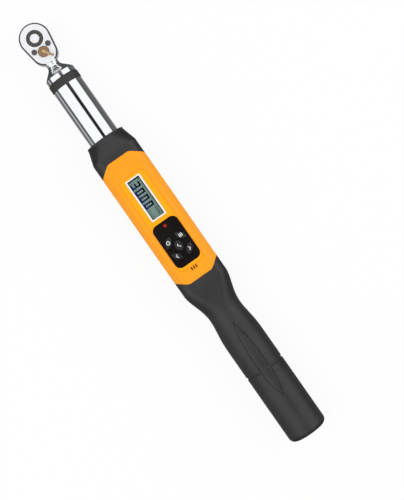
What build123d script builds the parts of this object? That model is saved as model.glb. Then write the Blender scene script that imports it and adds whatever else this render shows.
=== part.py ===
from build123d import *
import math
import os

os.makedirs("parts", exist_ok=True)

# Frame: millimetres, origin on the square-drive axis at mid thickness of the head,
# +X along the tool to the handle end, +Z up through the display face.

# Overall stations along the tool
COLLAR_START = 33.4
COLLAR_END = 37.6
RING_END = 44.2
BODY_START = 95.3
BODY_FULL = 109.6
BODY_TAPER = 233.8
GRIP_END = 313.4
SEAL_GAP = 1.8
CAP_LENGTH = 62.2
CAP_START = GRIP_END + SEAL_GAP
TOOL_END = CAP_START + CAP_LENGTH

# Ratchet head
HEAD_RADIUS = 12.6
HEAD_REAR_RADIUS = 10.6
PIVOT_X = 12.4
HEAD_HALF = 5.75
HEAD_BEVEL = 1.2
PLATE_THICK = 1.5
PLATE_RADIUS = 11.3
PLATE_REAR_RADIUS = 9.3
FLOOR_Z = -3.95
NECK_RADIUS = 5.3
COLLAR_RADIUS = 12.8
FLAT_SLOPE = 44.0
RUNNING = 0.05
SIDE_GAP = 0.1

# Drive gear
TEETH = 48
TOOTH_TIP = 7.6
TOOTH_ROOT = 7.05
JOURNAL_RADIUS = 6.75
BOSS_RADIUS = 6.0
SQUARE = 6.35
SQUARE_LENGTH = 8.0
BOSS_DROP = 0.55

# Quick release
BUTTON_RADIUS = 3.83
BUTTON_PROUD = 0.85
BUTTON_HEIGHT = 3.0
PIN_RADIUS = 1.3
PRESS_TRAVEL = 1.8
BALL_RADIUS = 1.25
BALL_REST = 2.5
BALL_Z = -10.6
RETRACT_RATIO = 0.32

# Pawl and reversing lever
PAWL_ROCK = 5.6
LEVER_REST = 34.6
LEVER_RADIUS = 4.5
LEVER_REACH = 8.7
LEVER_THICK = 1.1
ARM_ROOT = 1.9
ARM_TIP = 0.85
STEM_RADIUS = 3.0
PIVOT_RADIUS = 1.9
SCREW_X = 8.83
SCREW_Y = 6.45
SCREW_RADIUS = 1.0
SCREW_HEAD = 2.25
SCREW_BOSS = 1.7
DETENT_RADIUS = 1.0

# Neck, tube and sensor
TUBE_RADIUS = 12.8
TUBE_BORE = 11.3
RING_RADIUS = 13.2
RING_BORE = 12.2
TUBE_START = 38.0
TUBE_END = 126.0
SHANK_END = 60.0
BEAM_THICK = 7.0
BEAM_HEIGHT = 14.0
BEAM_SPIGOT = 5.0
HEAD_PIN_X = 41.0
BEAM_PIN_X = 118.0
BEAM_PIN_RADIUS = 2.0

# Housings
BODY_HALF_W = 19.8
BODY_HALF_H = 18.5
GRIP_RADIUS = 16.5
WAIST_X = 260.0
WAIST_RADIUS = 14.2
FLUTE_START = 273.4
FLUTE_DEPTH = 0.8
SPLIT_Z = -4.0
CAVITY_END = GRIP_END - 13.4
WALL = 3.2
COVER_THICK = 1.6
SEAM = 0.12

# Face cover
COVER_FRONT = 115.2
COVER_REAR = 227.0
PANEL_DEPTH = 0.4
PANEL_START = 131.7
PANEL_END = 216.0
PANEL_HALF = 11.45
PANEL_SLOPE = 60.0

# Display, all from the middle of the window
WINDOW_X = 152.7
WINDOW_LENGTH = 35.2
WINDOW_WIDTH = 10.8
FRAME_LENGTH = 37.3
FRAME_WIDTH = 13.4
FIT = 0.05
DIGIT_HEIGHT = 7.9
DIGIT_WIDTH = 4.1
DIGIT_STROKE = 1.25
DIGIT_PITCH = 6.0

# Keypad
KEYPAD_START = 175.0
KEYPAD_END = 213.5
KEYPAD_HALF = 11.2
KEY_CENTRE_X = 197.5
KEY_TRAVEL = 0.4
KEY_PROUD = 0.8
KEY_GAP = 0.15
BOARD_TOP = 9.0
BOARD_THICK = 1.6
BOARD_WIDTH = 32.4

# Handle
SLEEVE_RADIUS = 14.2
SLEEVE_BORE = 12.2
SLEEVE_START = GRIP_END - 32.4
SLEEVE_END = GRIP_END + 17.6
THREAD_RADIUS = 13.6
CELL_RADIUS = 5.1
CELL_LENGTH = 44.5
CELL_ORBIT = 6.1
CARTRIDGE_RADIUS = 12.0
CARTRIDGE_START = SLEEVE_START + 9.0
CARTRIDGE_END = CARTRIDGE_START + 52.0


def block(x0, x1, y0, y1, z0, z1):
    """Box between two corners."""
    size = Box(x1 - x0, y1 - y0, z1 - z0)
    return Pos((x0 + x1) / 2, (y0 + y1) / 2, (z0 + z1) / 2) * size


def disc(x, y, radius, z0, z1):
    """Upright cylinder between two heights."""
    return Pos(x, y, (z0 + z1) / 2) * Cylinder(radius, z1 - z0)


def rod(radius, x0, x1, y=0, z=0):
    """Cylinder lying along the tool."""
    return Pos((x0 + x1) / 2, y, z) * Rot(0, 90, 0) * Cylinder(radius, x1 - x0)


def rod_across(radius, x, y0, y1, z=0):
    """Cylinder lying across the tool."""
    return Pos(x, (y0 + y1) / 2, z) * Rot(90, 0, 0) * Cylinder(radius, y1 - y0)


def turned(points):
    """Profile of (x, radius) points turned round the tool axis."""
    return revolve(make_face(Polyline(*points, close=True)), Axis.X)


def prism(points, z0, z1):
    """Plan outline pulled up between two heights."""
    return Pos(0, 0, z0) * extrude(make_face(Polyline(*points, close=True)), amount=z1 - z0)


def hull_prism(x_a, r_a, x_b, r_b, z0, z1):
    """Two circles on the centre line joined by tangents, pulled up between two heights."""
    rings = [(Pos(x_a, 0, 0) * Circle(r_a)).edge(), (Pos(x_b, 0, 0) * Circle(r_b)).edge()]
    return Pos(0, 0, z0) * extrude(make_hull(rings), amount=z1 - z0)


def slab(x, y, length, width, radius, z0, z1):
    """Rounded rectangle in plan pulled up between two heights."""
    return Pos(x, y, z0) * extrude(RectangleRounded(length, width, radius), amount=z1 - z0)


def keep(shape, name):
    """Writes one node."""
    shape.label = name
    export_step(shape, "parts/" + name + ".step")


def at_pivot(angle, shape):
    """Turns a shape about the pawl pivot."""
    return Pos(PIVOT_X, 0, 0) * Rot(0, 0, angle) * Pos(-PIVOT_X, 0, 0) * shape


# ---- Drive gear: toothed barrel, top journal, lower boss and square in one forging ----

def gear_prism(extra, z0, z1):
    """Ring of symmetric V teeth, grown outward by a clearance."""
    outline = []
    for tooth in range(TEETH):
        centre = 2 * math.pi * tooth / TEETH
        half = math.pi / TEETH
        tip = TOOTH_TIP + extra
        root = TOOTH_ROOT + extra
        outline.append((tip * math.cos(centre), tip * math.sin(centre)))
        outline.append((root * math.cos(centre + half), root * math.sin(centre + half)))
    return prism(outline, z0, z1)


plate_low = HEAD_HALF - PLATE_THICK
boss_low = -HEAD_HALF - BOSS_DROP
square_low = boss_low - SQUARE_LENGTH
gear_low = FLOOR_Z + RUNNING
gear_high = plate_low - SIDE_GAP
button_top = HEAD_HALF + BUTTON_PROUD
button_low = button_top - BUTTON_HEIGHT
button_seat = button_low - PRESS_TRAVEL - 0.6
pin_low = BALL_Z - 0.8
pin_bore_low = pin_low - PRESS_TRAVEL - 0.2

square_bar = block(-SQUARE / 2, SQUARE / 2, -SQUARE / 2, SQUARE / 2, square_low, boss_low + 0.5)
square_bar = chamfer(square_bar.edges().filter_by(Axis.Z), 0.35)
square_bar = chamfer(square_bar.faces().sort_by(Axis.Z)[0].edges(), 0.5)
drive_gear = gear_prism(0, gear_low, gear_high)
drive_gear += disc(0, 0, JOURNAL_RADIUS, gear_high - 0.5, HEAD_HALF)
drive_gear += disc(0, 0, BOSS_RADIUS, boss_low, gear_low + 0.5)
drive_gear += square_bar
drive_gear -= disc(0, 0, BUTTON_RADIUS + RUNNING, button_seat, HEAD_HALF + 1)
drive_gear -= Pos(0, 0, HEAD_HALF - 0.25) * Cone(BUTTON_RADIUS + RUNNING, BUTTON_RADIUS + 0.55, 0.5)
drive_gear -= disc(0, 0, PIN_RADIUS + RUNNING, pin_bore_low, button_seat + 0.5)
drive_gear -= rod_across(BALL_RADIUS + RUNNING, 0, 0, SQUARE, BALL_Z)
keep(drive_gear, "drive_gear")

# ---- Quick-release button: domed chrome button turned in one with its coned pin ----

cone_angle = math.atan(RETRACT_RATIO)
cone_at_ball = BALL_REST - (BALL_RADIUS + 0.02) / math.cos(cone_angle)
cone_foot = BALL_Z - (PIN_RADIUS - cone_at_ball) / RETRACT_RATIO
waist_low = BALL_Z + PRESS_TRAVEL + 0.15
waist_radius = cone_at_ball - RETRACT_RATIO * (waist_low - BALL_Z)
button_profile = [
    (0, pin_low),
    (PIN_RADIUS - 0.2, pin_low),
    (PIN_RADIUS, pin_low + 0.15),
    (PIN_RADIUS, cone_foot),
    (waist_radius, waist_low),
    (waist_radius, waist_low + 0.35),
    (PIN_RADIUS, waist_low + 1.35),
    (PIN_RADIUS, button_low),
    (BUTTON_RADIUS, button_low),
    (BUTTON_RADIUS, button_top - 0.45),
    (BUTTON_RADIUS - 0.45, button_top),
    (0, button_top),
]
button_face = make_face(Polyline(*[(r, 0, z) for r, z in button_profile], close=True))
release_button = revolve(button_face, Axis.Z)
keep(release_button, "release_button")

# ---- Release spring: coil that lifts the button ----

spring_mid = PIN_RADIUS + 0.85
spring_wire = 0.3
spring_low = button_seat + spring_wire
spring_height = button_low - button_seat - 2 * spring_wire


def coil(radius, wire, height, turns):
    """Round-wire compression spring standing on the origin."""
    path = Helix(pitch=height / turns, height=height, radius=radius)
    start = Plane(origin=path @ 0, z_dir=path % 0)
    return sweep(start * Circle(wire), path, is_frenet=True)


release_spring = Pos(0, 0, spring_low) * coil(spring_mid, spring_wire, spring_height, 2.5)
keep(release_spring, "release_spring")

# ---- Socket-retaining ball, riding in the side bore of the square ----

retaining_ball = Pos(0, BALL_REST, BALL_Z) * Sphere(BALL_RADIUS)
keep(retaining_ball, "retaining_ball")

# ---- Pawl: double-ended rocker with three teeth cut into each end ----

arm = []
for degrees, radius in [(22, 6.6), (33, 6.6), (44, 6.6), (44, 8.5), (38, 8.85), (28, 9.0), (22, 9.2)]:
    turn = math.radians(degrees)
    arm.append((radius * math.cos(turn), radius * math.sin(turn)))
pawl_low = FLOOR_Z + RUNNING
pawl_high = plate_low - SIDE_GAP
arm_end = prism(arm, pawl_low, pawl_high)
arm_link = prism([(7.0, 2.9), (PIVOT_X, -1.0), (PIVOT_X + 1, 2.6), (7.6, 5.6)], pawl_low, pawl_high)
arm_end = at_pivot(-PAWL_ROCK, arm_end)
upper_arm = arm_end + arm_link
pawl_blank = upper_arm + mirror(upper_arm, Plane.XZ) + disc(PIVOT_X, 0, 4.1, pawl_low, pawl_high)
mesh_cut = at_pivot(-PAWL_ROCK, gear_prism(0.08, FLOOR_Z - 1, plate_low + 1))
pawl_blank -= mesh_cut
pawl_blank -= mirror(mesh_cut, Plane.XZ)
for swing in (-PAWL_ROCK, 0, PAWL_ROCK):
    for side in (1, -1):
        boss_room = disc(SCREW_X, side * SCREW_Y, SCREW_BOSS + 0.25, FLOOR_Z - 1, plate_low + 1)
        pawl_blank -= at_pivot(swing, boss_room)
pawl_blank -= disc(0, 0, TOOTH_TIP - 0.35, FLOOR_Z - 1, plate_low + 1)
pawl_blank -= disc(PIVOT_X, 0, PIVOT_RADIUS + RUNNING, FLOOR_Z - 1, plate_low + 1)
for side in (1, -1):
    notch = disc(PIVOT_X + 4.1 + 0.8, 0, DETENT_RADIUS, FLOOR_Z - 1, plate_low + 1)
    pawl_blank -= at_pivot(side * PAWL_ROCK, notch)
pawl = at_pivot(PAWL_ROCK, pawl_blank)
pawl = pawl.solids().sort_by(SortBy.VOLUME)[-1]
keep(pawl, "pawl")

# ---- Reversing lever: turned boss with a tapered thumb arm, pivoting in plate and floor ----

lever_low = HEAD_HALF + SIDE_GAP
lever = disc(0, 0, LEVER_RADIUS, lever_low, lever_low + LEVER_THICK)
lever = chamfer(lever.faces().sort_by(Axis.Z)[-1].edges(), 0.4)
arm_height = lever_low + LEVER_THICK
arm_length = LEVER_REACH - ARM_TIP
thumb_arm = Pos(arm_length / 2, 0, arm_height) * Rot(0, 90, 0) * Cone(ARM_ROOT, ARM_TIP * 0.8, arm_length)
thumb_arm += Pos(arm_length, 0, arm_height) * Sphere(ARM_TIP)
thumb_arm += Pos(0, 0, arm_height) * Sphere(ARM_ROOT)
lever += thumb_arm & block(-6, 12, -4, 4, lever_low + 0.15, arm_height + 6)
lever += disc(0, 0, STEM_RADIUS, plate_low + 0.05, lever_low)
lever += disc(0, 0, PIVOT_RADIUS, FLOOR_Z - 1.0, plate_low + 0.05)
reversing_lever = Pos(PIVOT_X, 0, 0) * Rot(0, 0, LEVER_REST) * lever
keep(reversing_lever, "reversing_lever")

# ---- Ratchet head: forged housing with neck, flared collar and shank ----

outline = hull_prism(0, HEAD_RADIUS, PIVOT_X + 0.4, HEAD_REAR_RADIUS, -HEAD_HALF, HEAD_HALF)
rims = outline.faces().sort_by(Axis.Z)[0].edges() + outline.faces().sort_by(Axis.Z)[-1].edges()
outline = chamfer(rims, HEAD_BEVEL)
neck = turned([
    (14.0, 0), (14.0, NECK_RADIUS), (24.9, NECK_RADIUS), (26.0, NECK_RADIUS + 0.35), (27.5, NECK_RADIUS + 1.5),
    (31.6, COLLAR_RADIUS - 1.6), (COLLAR_START, COLLAR_RADIUS), (COLLAR_END - 0.3, COLLAR_RADIUS),
    (COLLAR_END, COLLAR_RADIUS - 0.3), (COLLAR_END, TUBE_BORE - RUNNING), (SHANK_END, TUBE_BORE - RUNNING),
    (SHANK_END, 0),
])
ratchet_head = outline + neck
for side in (1, -1):
    cutter = Pos(30.0, 0, side * 9.0) * Rot(0, -side * FLAT_SLOPE, 0) * Pos(0, 0, side * 5) * Box(30, 30, 10)
    ratchet_head -= cutter & block(26.4, COLLAR_START - 0.2, -15, 15, -15, 15)
ratchet_head -= hull_prism(0, PLATE_RADIUS + FIT, PIVOT_X + 0.4, PLATE_REAR_RADIUS + FIT, plate_low, HEAD_HALF + 1)
ratchet_head -= disc(0, 0, TOOTH_TIP + 0.5, FLOOR_Z, HEAD_HALF)
pocket = block(2.0, PIVOT_X, -7.8, 7.8, FLOOR_Z, plate_low + 0.5) + disc(PIVOT_X, 0, 4.7, FLOOR_Z, plate_low + 0.5)
for side in (1, -1):
    pocket -= disc(SCREW_X, side * SCREW_Y, SCREW_BOSS, FLOOR_Z - 1, HEAD_HALF)
ratchet_head -= pocket
ratchet_head -= disc(0, 0, BOSS_RADIUS + RUNNING, -HEAD_HALF - 1, FLOOR_Z + 1)
ratchet_head -= disc(PIVOT_X, 0, PIVOT_RADIUS + RUNNING, FLOOR_Z - 1.1, FLOOR_Z + 1)
ratchet_head -= rod(DETENT_RADIUS + RUNNING, PIVOT_X + 3, PIVOT_X + 9.2)
for side in (1, -1):
    ratchet_head -= disc(SCREW_X, side * SCREW_Y, SCREW_RADIUS, FLOOR_Z, HEAD_HALF)
ratchet_head -= rod_across(1.5, HEAD_PIN_X, -14, 14)
ratchet_head -= rod(BEAM_SPIGOT, COLLAR_END + 8, SHANK_END + 1)
keep(ratchet_head, "ratchet_head")

# ---- Cover plate: flat steel plate let flush into the head ----

cover_plate = hull_prism(0, PLATE_RADIUS, PIVOT_X + 0.4, PLATE_REAR_RADIUS, plate_low, HEAD_HALF)
cover_plate -= disc(0, 0, JOURNAL_RADIUS + RUNNING, 0, 10)
cover_plate -= disc(PIVOT_X, 0, STEM_RADIUS + RUNNING, 0, 10)
for side in (1, -1):
    cover_plate -= disc(SCREW_X, side * SCREW_Y, SCREW_RADIUS + 0.1, 0, 10)
    cover_plate -= disc(SCREW_X, side * SCREW_Y, SCREW_HEAD + 0.1, HEAD_HALF - 0.9, 10)
keep(cover_plate, "cover_plate")

# ---- Cover screws: low cheese heads with a cross recess ----


def cross_screw(head_radius, head_height, shank_radius, shank_length, slot):
    """Cross-recess screw standing head up with the underside of the head at zero."""
    screw = disc(0, 0, head_radius, 0, head_height)
    screw = chamfer(screw.faces().sort_by(Axis.Z)[-1].edges(), head_height * 0.25)
    screw += disc(0, 0, shank_radius, -shank_length, 0.1)
    for turn in (45, 135):
        arm_cut = Box(head_radius * 1.3, slot, head_height * 1.2)
        screw -= Pos(0, 0, head_height) * Rot(0, 0, turn) * arm_cut
    return screw


for side, name in ((1, "cover_screw_1"), (-1, "cover_screw_2")):
    screw = cross_screw(SCREW_HEAD, 0.9, SCREW_RADIUS, 7.5, 0.45)
    keep(Pos(SCREW_X, side * SCREW_Y, HEAD_HALF - 0.9) * screw, name)

# ---- Pawl detent: ball and spring in a bore behind the pawl tail ----

detent_x = PIVOT_X + 4.1 + 0.8 + 0.06
detent_ball = Pos(detent_x, 0, 0) * Sphere(DETENT_RADIUS - 0.02)
keep(detent_ball, "detent_ball")
detent_length = PIVOT_X + 9.2 - 0.25 - (detent_x + 0.85)
detent_spring = Pos(detent_x + 0.85, 0, 0) * Rot(0, 90, 0) * coil(0.7, 0.2, detent_length, 4)
keep(detent_spring, "detent_spring")

# ---- Seal ring: moulded ring over the joint between collar and tube ----

seal_ring = turned([
    (COLLAR_END + 0.05, RING_BORE + FIT), (COLLAR_END + 0.05, RING_RADIUS - 0.4), (COLLAR_END + 0.45, RING_RADIUS),
    (RING_END - 0.5, RING_RADIUS), (RING_END, RING_RADIUS - 0.5), (RING_END, RING_BORE + FIT),
])
keep(seal_ring, "seal_ring")

# ---- Tube: chromed steel, stepped down under the seal ring ----

tube = rod(TUBE_RADIUS, TUBE_START, TUBE_END) - rod(TUBE_BORE, TUBE_START - 1, TUBE_END + 1)
tube -= rod(TUBE_RADIUS + 1, TUBE_START - 1, RING_END + 0.05) - rod(RING_BORE, TUBE_START - 2, RING_END + 1)
tube -= rod_across(1.5, HEAD_PIN_X, -14, 14)
tube -= disc(BEAM_PIN_X, 0, BEAM_PIN_RADIUS, -20, 20)
keep(tube, "tube")

head_pin = rod_across(1.5, HEAD_PIN_X, -RING_BORE + 0.15, RING_BORE - 0.15)
keep(head_pin, "head_pin")

# ---- Sensor beam: bar that bends under the pull, with a spigot in front and a block behind ----

beam_start = SHANK_END + 0.05
sensor_beam = rod(BEAM_SPIGOT, COLLAR_END + 8.5, beam_start + 1)
sensor_beam += block(beam_start, 106, -BEAM_THICK / 2, BEAM_THICK / 2, -BEAM_HEIGHT / 2, BEAM_HEIGHT / 2)
sensor_beam += rod(TUBE_BORE - RUNNING, 105.5, TUBE_END - 0.5)
sensor_beam -= disc(BEAM_PIN_X, 0, BEAM_PIN_RADIUS, -20, 20)
sensor_beam -= rod(1.5, 105, TUBE_END, 7.5, 0)
keep(sensor_beam, "sensor_beam")

gauge = block(76, 90, BEAM_THICK / 2, BEAM_THICK / 2 + 0.3, -3, 3)
keep(gauge, "strain_gauge_1")
keep(mirror(gauge, Plane.XZ), "strain_gauge_2")

beam_pin_half = BODY_HALF_H - WALL - 0.8
beam_pin = disc(BEAM_PIN_X, 0, BEAM_PIN_RADIUS, -beam_pin_half, beam_pin_half)
keep(beam_pin, "beam_pin")

# ---- Body form: round nose, rounded box, waist and round grip, as one outer shape ----


def ring_section(x, half_w, half_h, radius):
    """Rounded cross-section of the body at one station."""
    outline = RectangleRounded(2 * half_w, 2 * half_h, radius)
    return Plane(origin=(x, 0, 0), x_dir=(0, 1, 0), z_dir=(1, 0, 0)) * outline


def round_section(x, radius):
    """Circular cross-section in eight arcs, so that it pairs with a rounded rectangle edge for edge."""
    angles = []
    for quarter in (0, 90, 180, 270):
        angles += [math.radians(quarter - 2), math.radians(quarter + 2)]
    arcs = []
    for index, start in enumerate(angles):
        end = angles[(index + 1) % 8]
        if end < start:
            end += 2 * math.pi
        points = []
        for angle in (start, (start + end) / 2, end):
            points.append((x, radius * math.cos(angle), radius * math.sin(angle)))
        arcs.append(ThreePointArc(*points))
    return Face(Wire(arcs))


def body_form(inset, end):
    """Outer shape of the housings moved inward by an inset."""
    box_w = BODY_HALF_W - inset
    box_h = BODY_HALF_H - inset
    box_r = max(8.0 - inset, 1.5)
    nose_r = GRIP_RADIUS - inset
    form = rod(nose_r, BODY_START, 96.8)
    form += loft([round_section(96.8, nose_r), ring_section(BODY_FULL, box_w, box_h, box_r)], ruled=True)
    form += loft([ring_section(BODY_FULL, box_w, box_h, box_r), ring_section(BODY_TAPER, box_w, box_h, box_r)])
    stations = [
        (BODY_TAPER, BODY_HALF_W, BODY_HALF_H, 8.0), (240.1, 18.6, 17.4, 9.2), (247.1, 16.5, 15.9, 11.0),
        (253.0, 15.0, 14.8, 12.6),
    ]
    waist = []
    for x, half_w, half_h, radius in stations:
        waist.append(ring_section(x, half_w - inset, half_h - inset, max(radius - inset, 1.5)))
    waist.append(round_section(WAIST_X, WAIST_RADIUS - inset))
    form += loft(waist)
    swell = Spline(
        (WAIST_X, WAIST_RADIUS - inset), (274.0, 15.55 - inset), (288.0, GRIP_RADIUS - inset),
        tangents=((1, 0), (1, 0)),
    )
    edge = swell + Polyline((288.0, GRIP_RADIUS - inset), (end, GRIP_RADIUS - inset), (end, 0), (WAIST_X, 0),
                            (WAIST_X, WAIST_RADIUS - inset))
    form += revolve(make_face(edge), Axis.X)
    return form


body_outer = body_form(0, GRIP_END)
body_inner = body_form(WALL, CAVITY_END) - block(BODY_START - 1, BODY_START + 3.0, -20, 20, -20, 20)

# ---- Grip flute: leaf-shaped shallow recess that runs over the grip and the tail cap ----

flute_half = [
    (FLUTE_START, 0), (277.5, 1.1), (282.0, 2.0), (288.0, 2.8), (294.0, 3.3), (303.0, 3.7), (318.0, 3.75),
    (325.0, 3.2), (331.0, 2.0), (336.0, 0),
]
flute_plan = flute_half + [(x, -w) for x, w in reversed(flute_half[1:-1])]
flute_block = extrude(make_face(Polyline(*flute_plan, close=True)), amount=6.0, taper=-20)
flute = (Pos(0, 0, GRIP_RADIUS - 3.4) * flute_block) - body_form(FLUTE_DEPTH, CAP_START + 30)

# ---- Face cover: coloured moulding let into the upper housing and wrapped down its sides ----

cover_plan = [
    (COVER_FRONT, 9.0), (COVER_FRONT + 0.9, 11.0), (124.0, BODY_HALF_W + 2), (218.7, BODY_HALF_W + 2),
    (COVER_REAR - 0.9, 12.0), (COVER_REAR, 10.0),
]
cover_plan = cover_plan + [(x, -y) for x, y in reversed(cover_plan)]


def cover_region(extra):
    """Space the face cover takes, grown by a clearance."""
    outline = offset(make_face(Polyline(*cover_plan, close=True)), amount=extra) if extra else None
    face = outline if extra else make_face(Polyline(*cover_plan, close=True))
    return Pos(0, 0, SPLIT_Z - extra) * extrude(face, amount=60)


cover_core = body_form(COVER_THICK, GRIP_END)
face_cover = (body_outer - cover_core) & cover_region(0)
panel_length = PANEL_END - PANEL_START
panel_plan = RectangleRounded(panel_length, 2 * PANEL_HALF, 4.0)
panel_cut = extrude(panel_plan, amount=PANEL_DEPTH + 0.2, taper=-PANEL_SLOPE)
face_cover -= Pos((PANEL_START + PANEL_END) / 2, 0, BODY_HALF_H - PANEL_DEPTH) * panel_cut
face_cover -= slab(WINDOW_X, 0, FRAME_LENGTH + 2 * FIT, FRAME_WIDTH + 2 * FIT, 0.6, 0, BODY_HALF_H + 1)
keypad_length = KEYPAD_END - KEYPAD_START
keypad_x = (KEYPAD_START + KEYPAD_END) / 2
face_cover -= slab(keypad_x, 0, keypad_length + 2 * FIT, 2 * (KEYPAD_HALF + FIT), 5.0, 0, BODY_HALF_H + 1)
for y in (-2.05, 0, 2.05):
    face_cover -= slab(218.1, y, 2.9, 1.0, 0.45, 0, BODY_HALF_H + 1)
keep(face_cover, "face_cover")

# ---- Upper and lower housings: black half shells screwed together from below ----

shell = body_outer - body_inner
shell -= rod(TUBE_RADIUS + FIT, BODY_START - 1, BODY_START + 10)
shell -= rod(SLEEVE_RADIUS + FIT, SLEEVE_START, GRIP_END + 1)
shell -= rod(SLEEVE_BORE - 1.2, SLEEVE_START - 5, SLEEVE_START + 1)
upper_zone = block(80, GRIP_END + 5, -30, 30, SPLIT_Z, 40)
lower_zone = block(80, GRIP_END + 5, -30, 30, -40, SPLIT_Z - 0.03)
nose_rib = block(BODY_START + 2.5, 102, -15, 15, -15, 15) - rod(TUBE_RADIUS + FIT, 90, 130)
shell += nose_rib & body_form(WALL - 0.5, CAVITY_END)
rear_rib = block(BEAM_PIN_X - 3.5, BEAM_PIN_X + 3.5, -19, 19, -18, 18) - rod(TUBE_RADIUS + FIT, 90, 130)
shell += rear_rib & body_form(WALL - 0.5, CAVITY_END)
shell = shell - disc(BEAM_PIN_X, 0, BEAM_PIN_RADIUS + FIT, -beam_pin_half - 0.1, beam_pin_half + 0.1)

upper_housing = shell & upper_zone
upper_housing -= cover_region(SEAM) - body_form(COVER_THICK + RUNNING, GRIP_END)
upper_housing -= slab(WINDOW_X, 0, FRAME_LENGTH - 1.2, FRAME_WIDTH - 1.2, 0.6, 0, BODY_HALF_H + 1)
upper_housing -= slab(keypad_x, 0, keypad_length - 2.0, 2 * KEYPAD_HALF - 2.0, 4.4, 0, BODY_HALF_H + 1)
for y in (-2.05, 0, 2.05):
    upper_housing -= slab(218.1, y, 2.9, 1.0, 0.45, 0, BODY_HALF_H + 1)

lower_housing = shell & lower_zone

screw_points = [(130.5, 13.4), (130.5, -13.4), (222.0, 13.0), (222.0, -13.0)]
boss_limit = body_form(COVER_THICK + 0.5, GRIP_END)
for x, y in screw_points:
    upper_housing += disc(x, y, 2.6, SPLIT_Z, BODY_HALF_H - WALL + 0.3) & boss_limit
    upper_housing -= disc(x, y, 1.2, SPLIT_Z - 1, 8)
    lower_housing += disc(x, y, 3.4, -BODY_HALF_H + WALL - 0.3, SPLIT_Z - 0.03) & boss_limit
    lower_housing -= disc(x, y, 1.3, -30, SPLIT_Z + 1)
    lower_housing -= disc(x, y, 2.55, -30, -12.0)
board_supports = [(150.0, 14.6), (150.0, -14.6), (208.0, 14.6), (208.0, -14.6)]
board_low = BOARD_TOP - BOARD_THICK
for x, y in board_supports:
    upper_housing += disc(x, y, 1.9, BOARD_TOP, BODY_HALF_H - WALL + 0.3) & boss_limit
    upper_housing -= disc(x, y, 0.8, BOARD_TOP - 1, BOARD_TOP + 4.5)
upper_housing -= flute
keep(upper_housing, "upper_housing")
keep(lower_housing, "lower_housing")

for index, (x, y) in enumerate(screw_points):
    screw = Rot(180, 0, 0) * cross_screw(2.5, 1.6, 1.2, 17.5, 0.6)
    keep(Pos(x, y, -12.0) * screw, "housing_screw_" + str(index + 1))

# ---- Display: white frame, clear window, module on the board and plain number segments ----

frame_top = BODY_HALF_H - PANEL_DEPTH + 0.35
core_top = BODY_HALF_H - COVER_THICK
lcd_frame = slab(WINDOW_X, 0, FRAME_LENGTH, FRAME_WIDTH, 0.6, core_top, frame_top)
lcd_frame -= slab(WINDOW_X, 0, WINDOW_LENGTH, WINDOW_WIDTH, 0.3, 0, 30)
keep(lcd_frame, "lcd_frame")
window_top = frame_top - 0.3
lcd_window = slab(WINDOW_X, 0, WINDOW_LENGTH - 2 * FIT, WINDOW_WIDTH - 2 * FIT, 0.3, window_top - 0.8, window_top)
keep(lcd_window, "lcd_window")

digit_low = BODY_HALF_H - WALL - 0.4
module_top = digit_low
lcd_module = block(WINDOW_X - 17.4, WINDOW_X + 17.4, -5.9, 5.9, module_top - 2.6, module_top)
lcd_module += block(WINDOW_X - 16.0, WINDOW_X + 16.0, -5.2, 5.2, BOARD_TOP, module_top - 2.5)
keep(lcd_module, "lcd_module")

SEGMENTS = {
    "0": "abcdef", "3": "abcdg",
}


def digit(mark, x, y):
    """Seven-segment number lying on the display glass."""
    half_w = DIGIT_WIDTH / 2
    half_h = DIGIT_HEIGHT / 2
    s = DIGIT_STROKE
    top = digit_low + 0.15
    bars = {
        "a": block(x - half_w, x + half_w, y + half_h - s, y + half_h, digit_low, top),
        "g": block(x - half_w, x + half_w, y - s / 2, y + s / 2, digit_low, top),
        "d": block(x - half_w, x + half_w, y - half_h, y - half_h + s, digit_low, top),
        "b": block(x + half_w - s, x + half_w, y, y + half_h, digit_low, top),
        "c": block(x + half_w - s, x + half_w, y - half_h, y, digit_low, top),
        "f": block(x - half_w, x - half_w + s, y, y + half_h, digit_low, top),
        "e": block(x - half_w, x - half_w + s, y - half_h, y, digit_low, top),
    }
    glyph = None
    for name in SEGMENTS[mark]:
        glyph = bars[name] if glyph is None else glyph + bars[name]
    return glyph


digit_y = -1.15
digit_start = WINDOW_X - 12.3
marks = []
for index, mark in enumerate("3000"):
    marks.append(digit(mark, digit_start + index * DIGIT_PITCH, digit_y))
point_x = digit_start + 1.5 * DIGIT_PITCH
point_y = digit_y - DIGIT_HEIGHT / 2
marks.append(block(point_x - 0.5, point_x + 0.5, point_y, point_y + 1.0, digit_low, digit_low + 0.15))
lcd_digits = Compound(children=marks)
keep(lcd_digits, "lcd_digits")

# ---- Keypad: black panel with five keys, a status light and switches on the board ----

panel_top = BODY_HALF_H - PANEL_DEPTH + 0.1
keypad_panel = slab(keypad_x, 0, keypad_length, 2 * KEYPAD_HALF, 5.0, core_top, panel_top)


def leaf(length, width, z0, z1):
    """Pointed oval key outline made of two arcs."""
    bulge_r = (length * length / 4 + width * width / 4) / width
    shift = bulge_r - width / 2
    oval = (Pos(0, -shift) * Circle(bulge_r)) & (Pos(0, shift) * Circle(bulge_r))
    return Pos(0, 0, z0) * extrude(oval, amount=z1 - z0)


key_low = core_top - 2.6
key_top = panel_top + KEY_PROUD
keys = [
    ("key_menu", -6.0, 5.7, 43.0), ("key_up", 6.3, 5.7, -43.0),
    ("key_power", -6.0, -5.8, -43.0), ("key_down", 6.3, -5.8, 43.0),
]
switch_top = key_low - KEY_TRAVEL - 0.02
switches = []


def key_shape(grow, low, high):
    """Plan of an outer key, turned onto its place by the caller."""
    return leaf(9.6 + 2 * grow, 4.6 + 2 * grow, low, high)


def centre_key(grow, low, high):
    """Oval centre key."""
    return Pos(0, 0, low) * extrude(Ellipse(4.1 + grow, 3.0 + grow), amount=high - low)


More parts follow.
